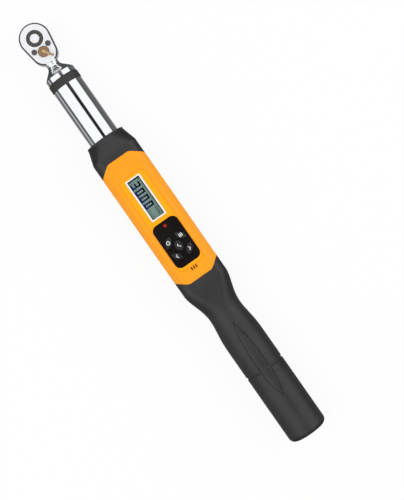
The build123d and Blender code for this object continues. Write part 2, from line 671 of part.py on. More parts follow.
for name, dx, y, turn in keys:
    place = Pos(KEY_CENTRE_X + dx, y, 0) * Rot(0, 0, turn)
    keypad_panel -= place * key_shape(KEY_GAP, 0, 30)
    cap = place * key_shape(0, key_low, key_top)
    cap += place * key_shape(0.7, key_low, core_top - 0.9)
    keep(cap, name)
    switches.append((KEY_CENTRE_X + dx, y))
place = Pos(KEY_CENTRE_X, 0, 0)
keypad_panel -= place * centre_key(KEY_GAP, 0, 30)
cap = place * centre_key(0, key_low, key_top)
cap += place * centre_key(0.5, key_low, core_top - 0.9)
keep(cap, "key_enter")
switches.append((KEY_CENTRE_X, 0))
keypad_panel -= disc(178.8, 0, 1.5 + FIT, 0, 30)
keep(keypad_panel, "keypad_panel")

status_led = disc(178.8, 0, 1.5, BOARD_TOP + 1.0, panel_top - 0.1)
status_led += Pos(178.8, 0, panel_top - 0.1) * (Sphere(1.5) & block(-2, 2, -2, 2, 0, 0.7))
status_led += disc(178.8, 0, 1.9, BOARD_TOP, BOARD_TOP + 1.2)
keep(status_led, "status_led")

for index, (x, y) in enumerate(switches):
    switch = block(x - 2.2, x + 2.2, y - 1.9, y + 1.9, BOARD_TOP, BOARD_TOP + 1.6)
    switch += disc(x, y, 1.1, BOARD_TOP + 1.5, switch_top)
    keep(switch, "switch_" + str(index + 1))

# ---- Main board: circuit board hung under the upper housing, with chips and buzzer ----

main_board = slab((136.0 + 217.0) / 2, 0, 217.0 - 136.0, BOARD_WIDTH, 2.0, board_low, BOARD_TOP)
for x, y in board_supports:
    main_board -= disc(x, y, 0.85, 0, 20)
keep(main_board, "main_board")
for index, (x, y) in enumerate(board_supports):
    screw = Rot(180, 0, 0) * cross_screw(1.7, 1.0, 0.8, 5.4, 0.4)
    keep(Pos(x, y, board_low) * screw, "board_screw_" + str(index + 1))
processor = block(160, 170, -5, 5, board_low - 1.4, board_low)
keep(processor, "processor")
buzzer = disc(211.0, 0, 4.5, board_low - 4.0, board_low)
keep(buzzer, "buzzer")

# ---- Sensor cable: from the bore in the beam block up to the board ----

cable_rail = FilletPolyline((108.0, 7.5, 0), (133.0, 7.5, 0), (137.5, 7.5, 4.0), (137.5, 7.5, board_low), radius=1.6)
cable_start = Plane(origin=cable_rail @ 0, z_dir=cable_rail % 0)
sensor_cable = sweep(cable_start * Circle(0.9), cable_rail)
keep(sensor_cable, "sensor_cable")

# ---- Battery sleeve: metal sleeve fixed in the grip, its rear end taking the tail cap ----

battery_sleeve = rod(SLEEVE_RADIUS, SLEEVE_START + 0.1, GRIP_END) + rod(THREAD_RADIUS, GRIP_END - 1, SLEEVE_END)
battery_sleeve -= rod(SLEEVE_BORE, SLEEVE_START + 2.5, SLEEVE_END + 1)
battery_sleeve -= rod(3.0, SLEEVE_START - 1, SLEEVE_START + 3)
keep(battery_sleeve, "battery_sleeve")

# ---- Battery cartridge: round holder with three cells and end contacts ----

cartridge = rod(CARTRIDGE_RADIUS, CARTRIDGE_START, CARTRIDGE_END)
cell_low = CARTRIDGE_START + 4.0
for index in range(3):
    turn = math.radians(90 + 120 * index)
    y = CELL_ORBIT * math.cos(turn)
    z = CELL_ORBIT * math.sin(turn)
    cartridge -= rod(CELL_RADIUS + 0.15, cell_low - 0.5, cell_low + CELL_LENGTH + 0.8, y, z)
    cartridge -= rod(CELL_RADIUS, cell_low - 0.5, cell_low + CELL_LENGTH + 0.8, y * 1.6, z * 1.6)
cartridge -= rod(3.3, CARTRIDGE_START - 1, CARTRIDGE_START + 1.5)
keep(cartridge, "battery_cartridge")
for index in range(3):
    turn = math.radians(90 + 120 * index)
    y = CELL_ORBIT * math.cos(turn)
    z = CELL_ORBIT * math.sin(turn)
    cell = rod(CELL_RADIUS, cell_low - 0.4, cell_low + CELL_LENGTH - 1.0, y, z)
    cell += rod(1.9, cell_low + CELL_LENGTH - 1.1, cell_low + CELL_LENGTH, y, z)
    keep(cell, "cell_" + str(index + 1))
front_contact = rod(2.9, CARTRIDGE_START + 0.1, CARTRIDGE_START + 1.4)
front_contact += rod(2.0, SLEEVE_START - 1.5, CARTRIDGE_START + 0.2)
keep(front_contact, "front_contact")

# ---- Tail cap: screwed over the sleeve, with its seal and contact spring ----

cap_round = 5.0
cap_arc = []
for step in range(0, 7):
    turn = math.radians(15 * step)
    cap_arc.append((TOOL_END - 0.8 - cap_round + cap_round * math.sin(turn),
                    GRIP_RADIUS - cap_round + cap_round * math.cos(turn)))
cap_profile = [(CAP_START, 0), (CAP_START, GRIP_RADIUS - 0.4), (CAP_START + 0.4, GRIP_RADIUS)] + cap_arc
cap_profile = cap_profile + [(TOOL_END - 0.3, 6.0), (TOOL_END, 0)]
cap_outer = turned(cap_profile)
tail_cap = cap_outer - rod(THREAD_RADIUS + RUNNING, CAP_START - 1, SLEEVE_END + 1.0)
tail_cap -= rod(CARTRIDGE_RADIUS + 0.4, CAP_START, CARTRIDGE_END + 8.0)


tail_cap -= flute
keep(tail_cap, "tail_cap")

cap_seal = turned([
    (GRIP_END + 0.05, THREAD_RADIUS + 0.03), (GRIP_END + 0.05, GRIP_RADIUS - 0.7), (CAP_START - 0.02, GRIP_RADIUS - 0.7),
    (CAP_START - 0.02, THREAD_RADIUS + 0.03),
])
keep(cap_seal, "cap_seal")

spring_start = CARTRIDGE_END + 0.3
spring_room = 8.0 - 0.6
cap_spring = Pos(spring_start + 0.3, 0, 0) * Rot(0, 90, 0) * coil(4.5, 0.4, spring_room - 0.4, 3.5)
keep(cap_spring, "cap_spring")
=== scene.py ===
import math
import bpy
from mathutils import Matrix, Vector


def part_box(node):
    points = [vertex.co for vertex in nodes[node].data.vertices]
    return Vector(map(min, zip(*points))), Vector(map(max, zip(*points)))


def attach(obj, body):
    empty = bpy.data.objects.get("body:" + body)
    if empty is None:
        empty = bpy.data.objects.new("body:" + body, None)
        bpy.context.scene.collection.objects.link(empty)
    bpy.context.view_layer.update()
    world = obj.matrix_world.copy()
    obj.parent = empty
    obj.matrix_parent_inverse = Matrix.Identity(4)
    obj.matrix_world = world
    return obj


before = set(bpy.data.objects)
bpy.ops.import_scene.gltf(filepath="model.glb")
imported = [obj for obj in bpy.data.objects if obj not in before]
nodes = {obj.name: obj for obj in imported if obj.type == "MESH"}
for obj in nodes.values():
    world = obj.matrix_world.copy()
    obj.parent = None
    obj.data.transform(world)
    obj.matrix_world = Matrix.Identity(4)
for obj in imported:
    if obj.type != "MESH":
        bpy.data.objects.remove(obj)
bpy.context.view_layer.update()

scene = bpy.context.scene

# Camera: looks straight down on the display face.
# The tool runs from the upper left to the lower right of the frame.
bpy.ops.object.select_all(action="DESELECT")
bpy.ops.object.camera_add(location=(0.2107, 0.0126, 1.058), rotation=(0, 0, math.radians(55.05)))
camera = bpy.context.object
camera.data.lens = 96.8
camera.data.sensor_width = 36
camera.data.clip_start = 0.05
camera.data.clip_end = 20
scene.camera = camera
scene.view_settings.view_transform = "Standard"

# Floor: pale bench sheet that carries the flat underside of the lower housing.
# Most of what the camera sees of it is plain white, and the rest keeps the tool's soft shadow.
bpy.ops.mesh.primitive_plane_add(size=8, location=(0.2, 0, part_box("lower_housing")[0][2] - 0.0003))
floor = bpy.context.object
floor.name = "floor"
floor.visible_glossy = False
mat = bpy.data.materials.new("floor_sheet")
mat.use_nodes = True
tree = mat.node_tree
shader = tree.nodes["Principled BSDF"]
shader.inputs["Base Color"].default_value = (0.90, 0.90, 0.90, 1)
shader.inputs["Roughness"].default_value = 0.9
shader.inputs["Specular IOR Level"].default_value = 0.0
plain = tree.nodes.new("ShaderNodeEmission")
plain.inputs["Color"].default_value = (1, 1, 1, 1)
rays = tree.nodes.new("ShaderNodeLightPath")
share = tree.nodes.new("ShaderNodeMath")
share.operation = "MULTIPLY"
share.inputs[1].default_value = 0.92
mix = tree.nodes.new("ShaderNodeMixShader")
link = tree.links.new
link(rays.outputs["Is Camera Ray"], share.inputs[0])
link(share.outputs[0], mix.inputs[0])
link(shader.outputs[0], mix.inputs[1])
link(plain.outputs[0], mix.inputs[2])
link(mix.outputs[0], tree.nodes["Material Output"].inputs["Surface"])
floor.data.materials.append(mat)

# Studio: even light all round, and softboxes with dark gaps that only polished metal reflects.
# The softboxes run along the tool, so the stops are angles round its long axis, from straight up.
world = bpy.data.worlds.new("studio")
scene.world = world
world.use_nodes = True
tree = world.node_tree
tree.nodes.clear()
output = tree.nodes.new("ShaderNodeOutputWorld")
coords = tree.nodes.new("ShaderNodeTexCoord")
split = tree.nodes.new("ShaderNodeSeparateXYZ")
turn = tree.nodes.new("ShaderNodeMath")
turn.operation = "ARCTAN2"
place = tree.nodes.new("ShaderNodeMapRange")
place.inputs["From Min"].default_value = -math.pi
place.inputs["From Max"].default_value = math.pi
ramp = tree.nodes.new("ShaderNodeValToRGB")
softbox_stops = [
    (-180, 0.55), (-143, 0.3), (-132, 0.08), (-121, 0.09), (-113, 0.46), (-99, 0.36), (-92, 0.07),
    (-82, 0.05), (-76, 1.0), (-4.5, 1.0), (-2.0, 0.02), (20.0, 0.015), (23.0, 1.0), (79, 1.0), (85, 0.07),
    (97, 0.11), (137, 0.14), (160, 0.34), (180, 0.55),
]
while len(ramp.color_ramp.elements) < len(softbox_stops):
    ramp.color_ramp.elements.new(0.5)
for element, (degrees, level) in zip(ramp.color_ramp.elements, softbox_stops):
    element.position = (degrees + 180) / 360
    element.color = (level, level, level * 1.02, 1)
front = tree.nodes.new("ShaderNodeMapRange")
front.inputs["From Min"].default_value = -0.1685
front.inputs["From Max"].default_value = -0.1735
above = tree.nodes.new("ShaderNodeMapRange")
above.inputs["From Min"].default_value = 0.4
above.inputs["From Max"].default_value = 0.6
overhead = tree.nodes.new("ShaderNodeMath")
overhead.operation = "MULTIPLY"
box_end = tree.nodes.new("ShaderNodeMix")
box_end.data_type = "RGBA"
box_end.inputs[7].default_value = (1.0, 1.0, 1.02, 1)
reach = tree.nodes.new("ShaderNodeMath")
reach.operation = "ABSOLUTE"
beyond = tree.nodes.new("ShaderNodeMapRange")
beyond.inputs["From Min"].default_value = 0.27
beyond.inputs["From Max"].default_value = 0.36
level_low = tree.nodes.new("ShaderNodeMapRange")
level_low.inputs["From Min"].default_value = 0.42
level_low.inputs["From Max"].default_value = 0.24
low_end = tree.nodes.new("ShaderNodeMath")
low_end.operation = "MULTIPLY"
dark_end = tree.nodes.new("ShaderNodeMix")
dark_end.data_type = "RGBA"
dark_end.inputs[7].default_value = (0.07, 0.07, 0.072, 1)
softbox = tree.nodes.new("ShaderNodeBackground")
softbox.inputs["Strength"].default_value = 1.06
even = tree.nodes.new("ShaderNodeBackground")
even.inputs["Color"].default_value = (1, 1, 1, 1)
even.inputs["Strength"].default_value = 0.5
rays = tree.nodes.new("ShaderNodeLightPath")
choose = tree.nodes.new("ShaderNodeMixShader")
backdrop = tree.nodes.new("ShaderNodeBackground")
backdrop.inputs["Color"].default_value = (1, 1, 1, 1)
show = tree.nodes.new("ShaderNodeMixShader")
link = tree.links.new
link(coords.outputs["Generated"], split.inputs[0])
link(split.outputs["Y"], turn.inputs[0])
link(split.outputs["Z"], turn.inputs[1])
link(turn.outputs[0], place.inputs["Value"])
link(place.outputs[0], ramp.inputs[0])
link(split.outputs["X"], front.inputs["Value"])
link(split.outputs["Z"], above.inputs["Value"])
link(front.outputs[0], overhead.inputs[0])
link(above.outputs[0], overhead.inputs[1])
link(overhead.outputs[0], box_end.inputs[0])
link(ramp.outputs[0], box_end.inputs[6])
link(split.outputs["X"], reach.inputs[0])
link(reach.outputs[0], beyond.inputs["Value"])
link(split.outputs["Z"], level_low.inputs["Value"])
link(beyond.outputs[0], low_end.inputs[0])
link(level_low.outputs[0], low_end.inputs[1])
link(low_end.outputs[0], dark_end.inputs[0])
link(box_end.outputs[2], dark_end.inputs[6])
link(dark_end.outputs[2], softbox.inputs["Color"])
link(rays.outputs["Is Glossy Ray"], choose.inputs[0])
link(even.outputs[0], choose.inputs[1])
link(softbox.outputs[0], choose.inputs[2])
link(rays.outputs["Is Camera Ray"], show.inputs[0])
link(choose.outputs[0], show.inputs[1])
link(backdrop.outputs[0], show.inputs[2])
link(show.outputs[0], output.inputs["Surface"])

# Key and fill: two large soft panels, the key on the near left side of the tool.
# They light the matt surfaces only, so their outlines never show in the chrome.
for name, at, power, size in (("key", (0.05, -0.9, 1.3), 11.5, 1.1), ("fill", (0.4, 1.1, 1.0), 11.0, 1.4)):
    data = bpy.data.lights.new(name, "AREA")
    data.energy = power
    data.size = size
    lamp = bpy.data.objects.new(name, data)
    scene.collection.objects.link(lamp)
    lamp.location = at
    aim = bpy.data.objects.new(name + "_aim", None)
    scene.collection.objects.link(aim)
    aim.location = (0.18, 0, 0)
    track = lamp.constraints.new("TRACK_TO")
    track.target = aim
    track.track_axis = "TRACK_NEGATIVE_Z"
    track.up_axis = "UP_Y"
    lamp.visible_glossy = False

# Ratchet head, collar and tube: forged and drawn steel, ground, polished and chrome plated.
# The effect of polishing lines and handling marks is shared by every plated or ground metal.
metal = bpy.data.node_groups.new("metal_finish", "ShaderNodeTree")
for name, kind in (
    ("Vector", "NodeSocketVector"), ("Stretch", "NodeSocketVector"), ("Depth", "NodeSocketFloat"),
):
    metal.interface.new_socket(name, in_out="INPUT", socket_type=kind)
metal.interface.new_socket("Normal", in_out="OUTPUT", socket_type="NodeSocketVector")
metal.interface.new_socket("Marks", in_out="OUTPUT", socket_type="NodeSocketFloat")
taken = metal.nodes.new("NodeGroupInput")
given = metal.nodes.new("NodeGroupOutput")
scaled = metal.nodes.new("ShaderNodeVectorMath")
scaled.operation = "MULTIPLY"
lines = metal.nodes.new("ShaderNodeTexNoise")
lines.inputs["Scale"].default_value = 1
lines.inputs["Detail"].default_value = 3
marks = metal.nodes.new("ShaderNodeTexNoise")
marks.inputs["Scale"].default_value = 90
marks.inputs["Detail"].default_value = 6
bump = metal.nodes.new("ShaderNodeBump")
bump.inputs["Distance"].default_value = 0.00002
link = metal.links.new
link(taken.outputs["Vector"], scaled.inputs[0])
link(taken.outputs["Stretch"], scaled.inputs[1])
link(scaled.outputs[0], lines.inputs["Vector"])
link(taken.outputs["Vector"], marks.inputs["Vector"])
link(lines.outputs[0], bump.inputs["Height"])
link(taken.outputs["Depth"], bump.inputs["Strength"])
link(bump.outputs[0], given.inputs["Normal"])
link(marks.outputs[0], given.inputs["Marks"])


def metal_material(name, colour, smooth, rough, stretch, depth, pieces):
    """Plated, ground or oiled metal on the named pieces."""
    mat = bpy.data.materials.new(name)
    mat.use_nodes = True
    tree = mat.node_tree
    shader = tree.nodes["Principled BSDF"]
    shader.inputs["Metallic"].default_value = 1
    coords = tree.nodes.new("ShaderNodeTexCoord")
    finish = tree.nodes.new("ShaderNodeGroup")
    finish.node_tree = metal
    finish.inputs["Stretch"].default_value = stretch
    finish.inputs["Depth"].default_value = depth
    level = tree.nodes.new("ShaderNodeMapRange")
    level.inputs["From Min"].default_value = 0.3
    level.inputs["From Max"].default_value = 0.7
    level.inputs["To Min"].default_value = smooth
    level.inputs["To Max"].default_value = rough
    tint = tree.nodes.new("ShaderNodeValToRGB")
    tint.name = "tint"
    tint.color_ramp.elements[0].color = tuple(c * 0.93 for c in colour) + (1,)
    tint.color_ramp.elements[1].color = colour + (1,)
    link = tree.links.new
    link(coords.outputs["Object"], finish.inputs["Vector"])
    link(finish.outputs["Marks"], level.inputs["Value"])
    link(finish.outputs["Marks"], tint.inputs[0])
    link(tint.outputs[0], shader.inputs["Base Color"])
    link(level.outputs[0], shader.inputs["Roughness"])
    link(finish.outputs["Normal"], shader.inputs["Normal"])
    for piece in pieces:
        nodes[piece].material_slots[0].material = mat
    return mat


metal_material("polished_chrome", (0.93, 0.94, 0.96), 0.03, 0.07, (300, 3000, 3000), 0.03,
               ["ratchet_head", "tube"])

# Drive: gear and square are one forging, hardened and left dark with oil, as is the pawl.
# The retaining ball, its release spring, the detent and the pins are bright spring and bearing steel.
metal_material("oiled_steel", (0.115, 0.11, 0.106), 0.30, 0.42, (900, 900, 900), 0.25, ["drive_gear", "pawl"])
metal_material("bright_steel", (0.62, 0.62, 0.64), 0.18, 0.28, (700, 2500, 2500), 0.12, [
    "release_spring", "retaining_ball", "detent_ball", "detent_spring", "head_pin", "beam_pin", "cap_spring"])

# Cover plate: pale satin-plated steel plate set flush in the head, held by two countersunk screws.
# Its grinding lines run along the tool, and the push button has the same plating.
# The screws, here and in the body, are black oxide; those of the plate are worn.
mat = metal_material("ground_plate", (0.965, 0.97, 1.0), 0.22, 0.26, (260, 2200, 260), 0.03,
                     ["cover_plate", "release_button"])
mat.node_tree.nodes["Principled BSDF"].inputs["Metallic"].default_value = 0.45
metal_material("worn_oxide", (0.17, 0.165, 0.16), 0.28, 0.42, (1500, 1500, 1500), 0.25,
               ["cover_screw_1", "cover_screw_2"])
metal_material("black_oxide", (0.07, 0.07, 0.072), 0.32, 0.45, (1500, 1500, 1500), 0.2, [
    "housing_screw_1", "housing_screw_2", "housing_screw_3", "housing_screw_4",
    "board_screw_1", "board_screw_2", "board_screw_3", "board_screw_4"])

# Reversing lever: cast and tumbled brass with a domed boss and a thin thumb arm.
# It is painted darker low down and lighter towards its top by height, a painted shade and highlight on the
# boss and arm, broken by random tone marks.
# It is kept out of reflections, so the neck doesn't mirror it.
mat = metal_material("brass_painted_light", (0.62, 0.40, 0.16), 0.26, 0.36, (1400, 1400, 1400), 0.4,
                     ["reversing_lever"])
tree = mat.node_tree
tint = tree.nodes["tint"]
tint.color_ramp.elements[0].color = (0.40, 0.255, 0.14, 1)
tint.color_ramp.elements[1].color = (0.95, 0.68, 0.32, 1)
coords = tree.nodes["Texture Coordinate"]
height = tree.nodes.new("ShaderNodeSeparateXYZ")
# Painted shade and highlight: the brass tint runs from dark brown low down to bright gold at the top, by
# height.
painted_top_highlight = tree.nodes.new("ShaderNodeMapRange")
painted_top_highlight.inputs["From Min"].default_value = 0.0072
painted_top_highlight.inputs["From Max"].default_value = 0.0084
painted_light_and_marks = tree.nodes.new("ShaderNodeMath")
painted_light_and_marks.operation = "MULTIPLY"
painted_light_and_marks.use_clamp = True
wide = tree.nodes.new("ShaderNodeMath")
wide.operation = "MULTIPLY"
wide.inputs[1].default_value = 1.7
link = tree.links.new
link(coords.outputs["Object"], height.inputs[0])
link(height.outputs["Z"], painted_top_highlight.inputs["Value"])
link(tree.nodes["Group"].outputs["Marks"], wide.inputs[0])
link(painted_top_highlight.outputs[0], painted_light_and_marks.inputs[0])
link(wide.outputs[0], painted_light_and_marks.inputs[1])
link(painted_light_and_marks.outputs[0], tint.inputs[0])
nodes["reversing_lever"].visible_glossy = False

# Strain sensor: bright steel beam pinned in the tube, with two foil gauges bonded to its flats.
# A black round cable carries their signal back to the board in the body.
metal_material("beam_steel", (0.58, 0.58, 0.60), 0.20, 0.30, (700, 2500, 2500), 0.12, ["sensor_beam"])

# Housings and tail cap: black glass-filled plastic, moulded with a fine spark-eroded skin.
# The skin effect, a fine grain with faint mottling, is shared by every moulded piece.
grain = bpy.data.node_groups.new("moulded_skin", "ShaderNodeTree")
for name, kind in (("Vector", "NodeSocketVector"), ("Size", "NodeSocketFloat"), ("Depth", "NodeSocketFloat")):
    grain.interface.new_socket(name, in_out="INPUT", socket_type=kind)
grain.interface.new_socket("Normal", in_out="OUTPUT", socket_type="NodeSocketVector")
grain.interface.new_socket("Mottle", in_out="OUTPUT", socket_type="NodeSocketFloat")
taken = grain.nodes.new("NodeGroupInput")
given = grain.nodes.new("NodeGroupOutput")
fine = grain.nodes.new("ShaderNodeTexNoise")
fine.inputs["Detail"].default_value = 3
fine.inputs["Roughness"].default_value = 0.6
broad = grain.nodes.new("ShaderNodeTexNoise")
broad.inputs["Scale"].default_value = 45
broad.inputs["Detail"].default_value = 4
bump = grain.nodes.new("ShaderNodeBump")
bump.inputs["Distance"].default_value = 0.00006
link = grain.links.new
link(taken.outputs["Vector"], fine.inputs["Vector"])
link(taken.outputs["Size"], fine.inputs["Scale"])
link(taken.outputs["Vector"], broad.inputs["Vector"])
link(fine.outputs[0], bump.inputs["Height"])
link(taken.outputs["Depth"], bump.inputs["Strength"])
link(bump.outputs[0], given.inputs["Normal"])
link(broad.outputs[0], given.inputs["Mottle"])


def moulded_material(name, dark, light, rough, specular, size, depth, pieces):
    """Plastic, rubber, film or ink on the named pieces."""
    mat = bpy.data.materials.new(name)
    mat.use_nodes = True
    tree = mat.node_tree
    shader = tree.nodes["Principled BSDF"]
    shader.inputs["Specular IOR Level"].default_value = specular
    coords = tree.nodes.new("ShaderNodeTexCoord")
    skin = tree.nodes.new("ShaderNodeGroup")
    skin.node_tree = grain
    skin.inputs["Size"].default_value = size
    skin.inputs["Depth"].default_value = depth
    tint = tree.nodes.new("ShaderNodeValToRGB")
    tint.name = "tint"
    tint.color_ramp.elements[0].position = 0.3
    tint.color_ramp.elements[0].color = dark + (1,)
    tint.color_ramp.elements[1].position = 0.7
    tint.color_ramp.elements[1].color = light + (1,)
    level = tree.nodes.new("ShaderNodeMapRange")
    level.inputs["From Min"].default_value = 0.3
    level.inputs["From Max"].default_value = 0.7
    level.inputs["To Min"].default_value = rough - 0.04
    level.inputs["To Max"].default_value = rough + 0.04
    link = tree.links.new
    link(coords.outputs["Object"], skin.inputs["Vector"])
    link(skin.outputs["Mottle"], tint.inputs[0])
    link(skin.outputs["Mottle"], level.inputs["Value"])
    link(tint.outputs[0], shader.inputs["Base Color"])
    link(level.outputs[0], shader.inputs["Roughness"])
    link(skin.outputs["Normal"], shader.inputs["Normal"])
    for piece in pieces:
        nodes[piece].material_slots[0].material = mat
    return mat


moulded_material("black_shell", (0.020, 0.020, 0.021), (0.027, 0.027, 0.028), 0.42, 0.45, 5200, 0.5,
                 ["upper_housing", "lower_housing", "tail_cap"])
moulded_material("seal_rubber", (0.030, 0.030, 0.029), (0.042, 0.042, 0.040), 0.6, 0.3, 4200, 0.5,
                 ["seal_ring", "cap_seal"])
moulded_material("gauge_film", (0.45, 0.22, 0.04), (0.55, 0.30, 0.07), 0.3, 0.5, 2600, 0.1,
                 ["strain_gauge_1", "strain_gauge_2"])
moulded_material("cable_skin", (0.03, 0.03, 0.03), (0.05, 0.05, 0.05), 0.5, 0.4, 2600, 0.2, ["sensor_cable"])

# Face cover: orange moulding let into the upper housing and wrapped down its sides.
# Its middle panel is sunk by a sharp crease, traced with a painted dark line of shade, and a soft raised
# contour runs round the panel.
rounded = bpy.data.node_groups.new("rounded_outline", "ShaderNodeTree")
for name in ("Vector", "Centre", "Half"):
    rounded.interface.new_socket(name, in_out="INPUT", socket_type="NodeSocketVector")
rounded.interface.new_socket("Corner", in_out="INPUT", socket_type="NodeSocketFloat")
rounded.interface.new_socket("Distance", in_out="OUTPUT", socket_type="NodeSocketFloat")
taken = rounded.nodes.new("NodeGroupInput")
given = rounded.nodes.new("NodeGroupOutput")
steps = []
for operation in ("SUBTRACT", "MULTIPLY", "ABSOLUTE", "SUBTRACT", "MAXIMUM", "LENGTH"):
    step = rounded.nodes.new("ShaderNodeVectorMath")
    step.operation = operation
    steps.append(step)
steps[1].inputs[1].default_value = (1, 1, 0)
steps[4].inputs[1].default_value = (0, 0, 0)
less = rounded.nodes.new("ShaderNodeMath")
less.operation = "SUBTRACT"
link = rounded.links.new
link(taken.outputs["Vector"], steps[0].inputs[0])
link(taken.outputs["Centre"], steps[0].inputs[1])
for before, after in zip(steps, steps[1:]):
    link(before.outputs[0], after.inputs[0])
link(taken.outputs["Half"], steps[3].inputs[1])
link(steps[5].outputs["Value"], less.inputs[0])
link(taken.outputs["Corner"], less.inputs[1])
link(less.outputs[0], given.inputs["Distance"])

mat = moulded_material("orange_cover", (1.0, 0.350, 0.012), (1.0, 0.372, 0.017), 0.42, 0.22, 4200, 0.15,
                       ["face_cover"])
tree = mat.node_tree
link = tree.links.new
coords = tree.nodes["Texture Coordinate"]
shader = tree.nodes["Principled BSDF"]
outlines = []
sunken_panel = ((0.17385, 0), (0.04215, 0.01145), 0.004)
raised_line = ((0.1808, 0), (0.0593, 0.0158), 0.012)
for middle, half, corner in (sunken_panel, raised_line):
    outline = tree.nodes.new("ShaderNodeGroup")
    outline.node_tree = rounded
    outline.inputs["Centre"].default_value = middle + (0,)
    outline.inputs["Half"].default_value = (half[0] - corner, half[1] - corner, 0)
    outline.inputs["Corner"].default_value = corner
    link(coords.outputs["Object"], outline.inputs["Vector"])
    outlines.append(outline)
inside = tree.nodes.new("ShaderNodeMapRange")
inside.inputs["From Min"].default_value = 0.00010
inside.inputs["From Max"].default_value = -0.00045
panel = tree.nodes.new("ShaderNodeMix")
panel.data_type = "RGBA"
panel.inputs[7].default_value = (1.0, 0.405, 0.004, 1)
near = tree.nodes.new("ShaderNodeMath")
near.operation = "ABSOLUTE"
# Painted shade: a thin dark line painted along the panel's outline, standing in for the shade in the crease.
painted_crease_shade = tree.nodes.new("ShaderNodeMapRange")
painted_crease_shade.inputs["From Min"].default_value = 0.00055
painted_crease_shade.inputs["From Max"].default_value = 0.00015
painted_crease_shade.inputs["To Max"].default_value = 0.34
line = tree.nodes.new("ShaderNodeMix")
line.data_type = "RGBA"
line.inputs[7].default_value = (0.72, 0.16, 0.006, 1)
rise = tree.nodes.new("ShaderNodeMapRange")
rise.interpolation_type = "SMOOTHSTEP"
rise.inputs["From Min"].default_value = 0.0012
rise.inputs["From Max"].default_value = -0.0012
contour = tree.nodes.new("ShaderNodeBump")
contour.inputs["Strength"].default_value = 1.0
contour.inputs["Distance"].default_value = 0.0005
link(outlines[0].outputs[0], inside.inputs["Value"])
link(inside.outputs[0], panel.inputs[0])
link(tree.nodes["tint"].outputs[0], panel.inputs[6])
link(outlines[0].outputs[0], near.inputs[0])
link(near.outputs[0], painted_crease_shade.inputs["Value"])
link(painted_crease_shade.outputs[0], line.inputs[0])
link(panel.outputs[2], line.inputs[6])
link(line.outputs[2], shader.inputs["Base Color"])
link(outlines[1].outputs[0], rise.inputs["Value"])
link(rise.outputs[0], contour.inputs["Height"])
link(tree.nodes["Group"].outputs["Normal"], contour.inputs["Normal"])
link(contour.outputs[0], shader.inputs["Normal"])

# Display: white snap-in frame round a grey-green glass, under a clear hard-coated window.
# The glass is painted darker along its edges, a painted shade where the frame's wall shades it, and the
# figures are dark segments with a blue foot.
# Only the window's outer faces glint.
moulded_material("white_frame", (0.90, 0.90, 0.89), (0.86, 0.86, 0.85), 0.28, 0.4, 2500, 0.08, ["lcd_frame"])
mat = moulded_material("display_glass", (0.215, 0.315, 0.285), (0.235, 0.335, 0.305), 0.3, 0.3, 3500, 0.05,
                       ["lcd_module"])
tree = mat.node_tree
link = tree.links.new
outline = tree.nodes.new("ShaderNodeGroup")
outline.node_tree = rounded
outline.inputs["Centre"].default_value = (0.1555, -0.00155, 0)
outline.inputs["Half"].default_value = (0.0195 - 0.0006, 0.00645 - 0.0006, 0)
outline.inputs["Corner"].default_value = 0.0006
# Painted shade: the glass is painted darker in a band along its edges, where the frame's wall would shade it.
painted_edge_shade = tree.nodes.new("ShaderNodeMapRange")
painted_edge_shade.interpolation_type = "SMOOTHSTEP"
painted_edge_shade.inputs["From Min"].default_value = -0.0007
painted_edge_shade.inputs["From Max"].default_value = 0.0004
edge_shade_mix = tree.nodes.new("ShaderNodeMix")
edge_shade_mix.data_type = "RGBA"
edge_shade_mix.inputs[7].default_value = (0.022, 0.034, 0.031, 1)
link(tree.nodes["Texture Coordinate"].outputs["Object"], outline.inputs["Vector"])
link(outline.outputs[0], painted_edge_shade.inputs["Value"])
link(painted_edge_shade.outputs[0], edge_shade_mix.inputs[0])
link(tree.nodes["tint"].outputs[0], edge_shade_mix.inputs[6])
link(edge_shade_mix.outputs[2], tree.nodes["Principled BSDF"].inputs["Base Color"])

ink = moulded_material("display_ink", (0.002, 0.002, 0.004), (0.003, 0.003, 0.006), 0.6, 0.05, 2500, 0.05,
                       ["lcd_digits"])
tree = ink.node_tree
link = tree.links.new
height = tree.nodes.new("ShaderNodeSeparateXYZ")
foot = tree.nodes.new("ShaderNodeMapRange")
foot.inputs["From Min"].default_value = -0.0007
foot.inputs["From Max"].default_value = -0.0017
blue = tree.nodes.new("ShaderNodeMix")
blue.data_type = "RGBA"
blue.inputs[7].default_value = (0.012, 0.014, 0.130, 1)
link(tree.nodes["Texture Coordinate"].outputs["Object"], height.inputs[0])
link(height.outputs["Y"], foot.inputs["Value"])
link(foot.outputs[0], blue.inputs[0])
link(tree.nodes["tint"].outputs[0], blue.inputs[6])
link(blue.outputs[2], tree.nodes["Principled BSDF"].inputs["Base Color"])

mat = moulded_material("clear_window", (0.02, 0.02, 0.02), (0.024, 0.024, 0.024), 0.08, 0.5, 900, 0.02,
                       ["lcd_window"])
tree = mat.node_tree
link = tree.links.new
clear = tree.nodes.new("ShaderNodeBsdfTransparent")
clear.inputs["Color"].default_value = (0.97, 0.98, 0.98, 1)
mix = tree.nodes.new("ShaderNodeMixShader")
glint = tree.nodes.new("ShaderNodeFresnel")
glint.inputs["IOR"].default_value = 1.18
side = tree.nodes.new("ShaderNodeNewGeometry")
outer = tree.nodes.new("ShaderNodeMath")
outer.operation = "SUBTRACT"
outer.inputs[0].default_value = 1
outer_glint = tree.nodes.new("ShaderNodeMath")
outer_glint.operation = "MULTIPLY"
link(side.outputs["Backfacing"], outer.inputs[1])
link(glint.outputs[0], outer_glint.inputs[0])
link(outer.outputs[0], outer_glint.inputs[1])
link(outer_glint.outputs[0], mix.inputs[0])
link(clear.outputs[0], mix.inputs[1])
link(tree.nodes["Principled BSDF"].outputs[0], mix.inputs[2])
link(mix.outputs[0], tree.nodes["Material Output"].inputs["Surface"])


